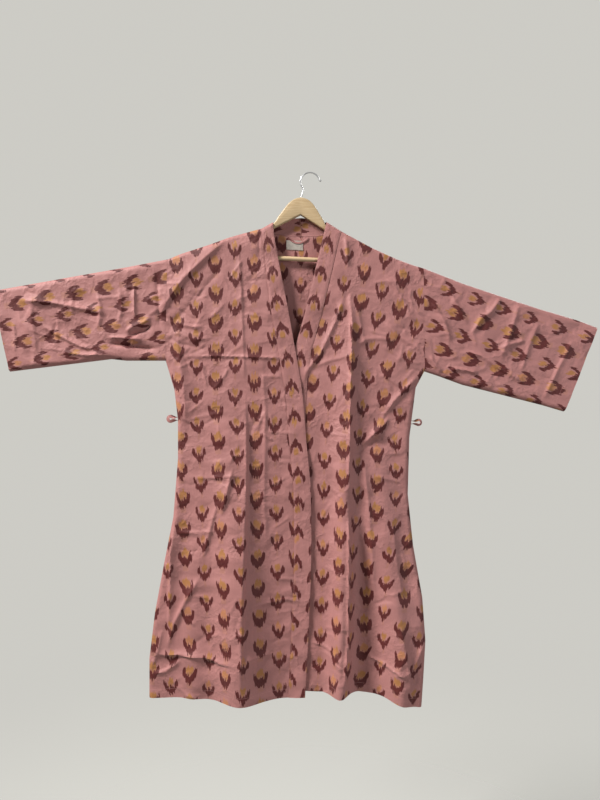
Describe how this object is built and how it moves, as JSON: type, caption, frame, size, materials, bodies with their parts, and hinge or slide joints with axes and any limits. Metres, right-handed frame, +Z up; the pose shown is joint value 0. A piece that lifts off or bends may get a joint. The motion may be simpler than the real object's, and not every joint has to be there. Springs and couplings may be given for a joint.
{
  "type": "kimono robe on a hanger",
  "caption": "Mid-calf kimono robe with open front, neck band, wide straight sleeves and belt loops, spread flat on a wooden hanger with a trouser bar.",
  "frame": {"origin": "inside top of the hanger hook's wire, where the part hangs", "axes": "+X to the right as seen from in front, +Y from the front of the robe to its back, +Z up"},
  "size_m": [1.52, 0.0811, 1.3336],
  "materials": {
    "printed_cotton": "matt plain weave with a woven-look flower repeat",
    "woven_label": "bare woven tape",
    "pale_wood": "clear satin varnish",
    "polished_wire": "polished"
  },
  "bodies": {
    "root": {"back_panel": "printed_cotton", "front_left": "printed_cotton", "front_right": "printed_cotton", "sleeve_left": "printed_cotton", "sleeve_right": "printed_cotton", "neck_band": "printed_cotton", "hanging_loop": "printed_cotton", "belt_loop_left": "printed_cotton", "belt_loop_right": "printed_cotton", "label": "woven_label", "hanger_body": "pale_wood", "hanger_bar": "pale_wood", "hanger_hook": "polished_wire"}
  },
  "joints": []
}
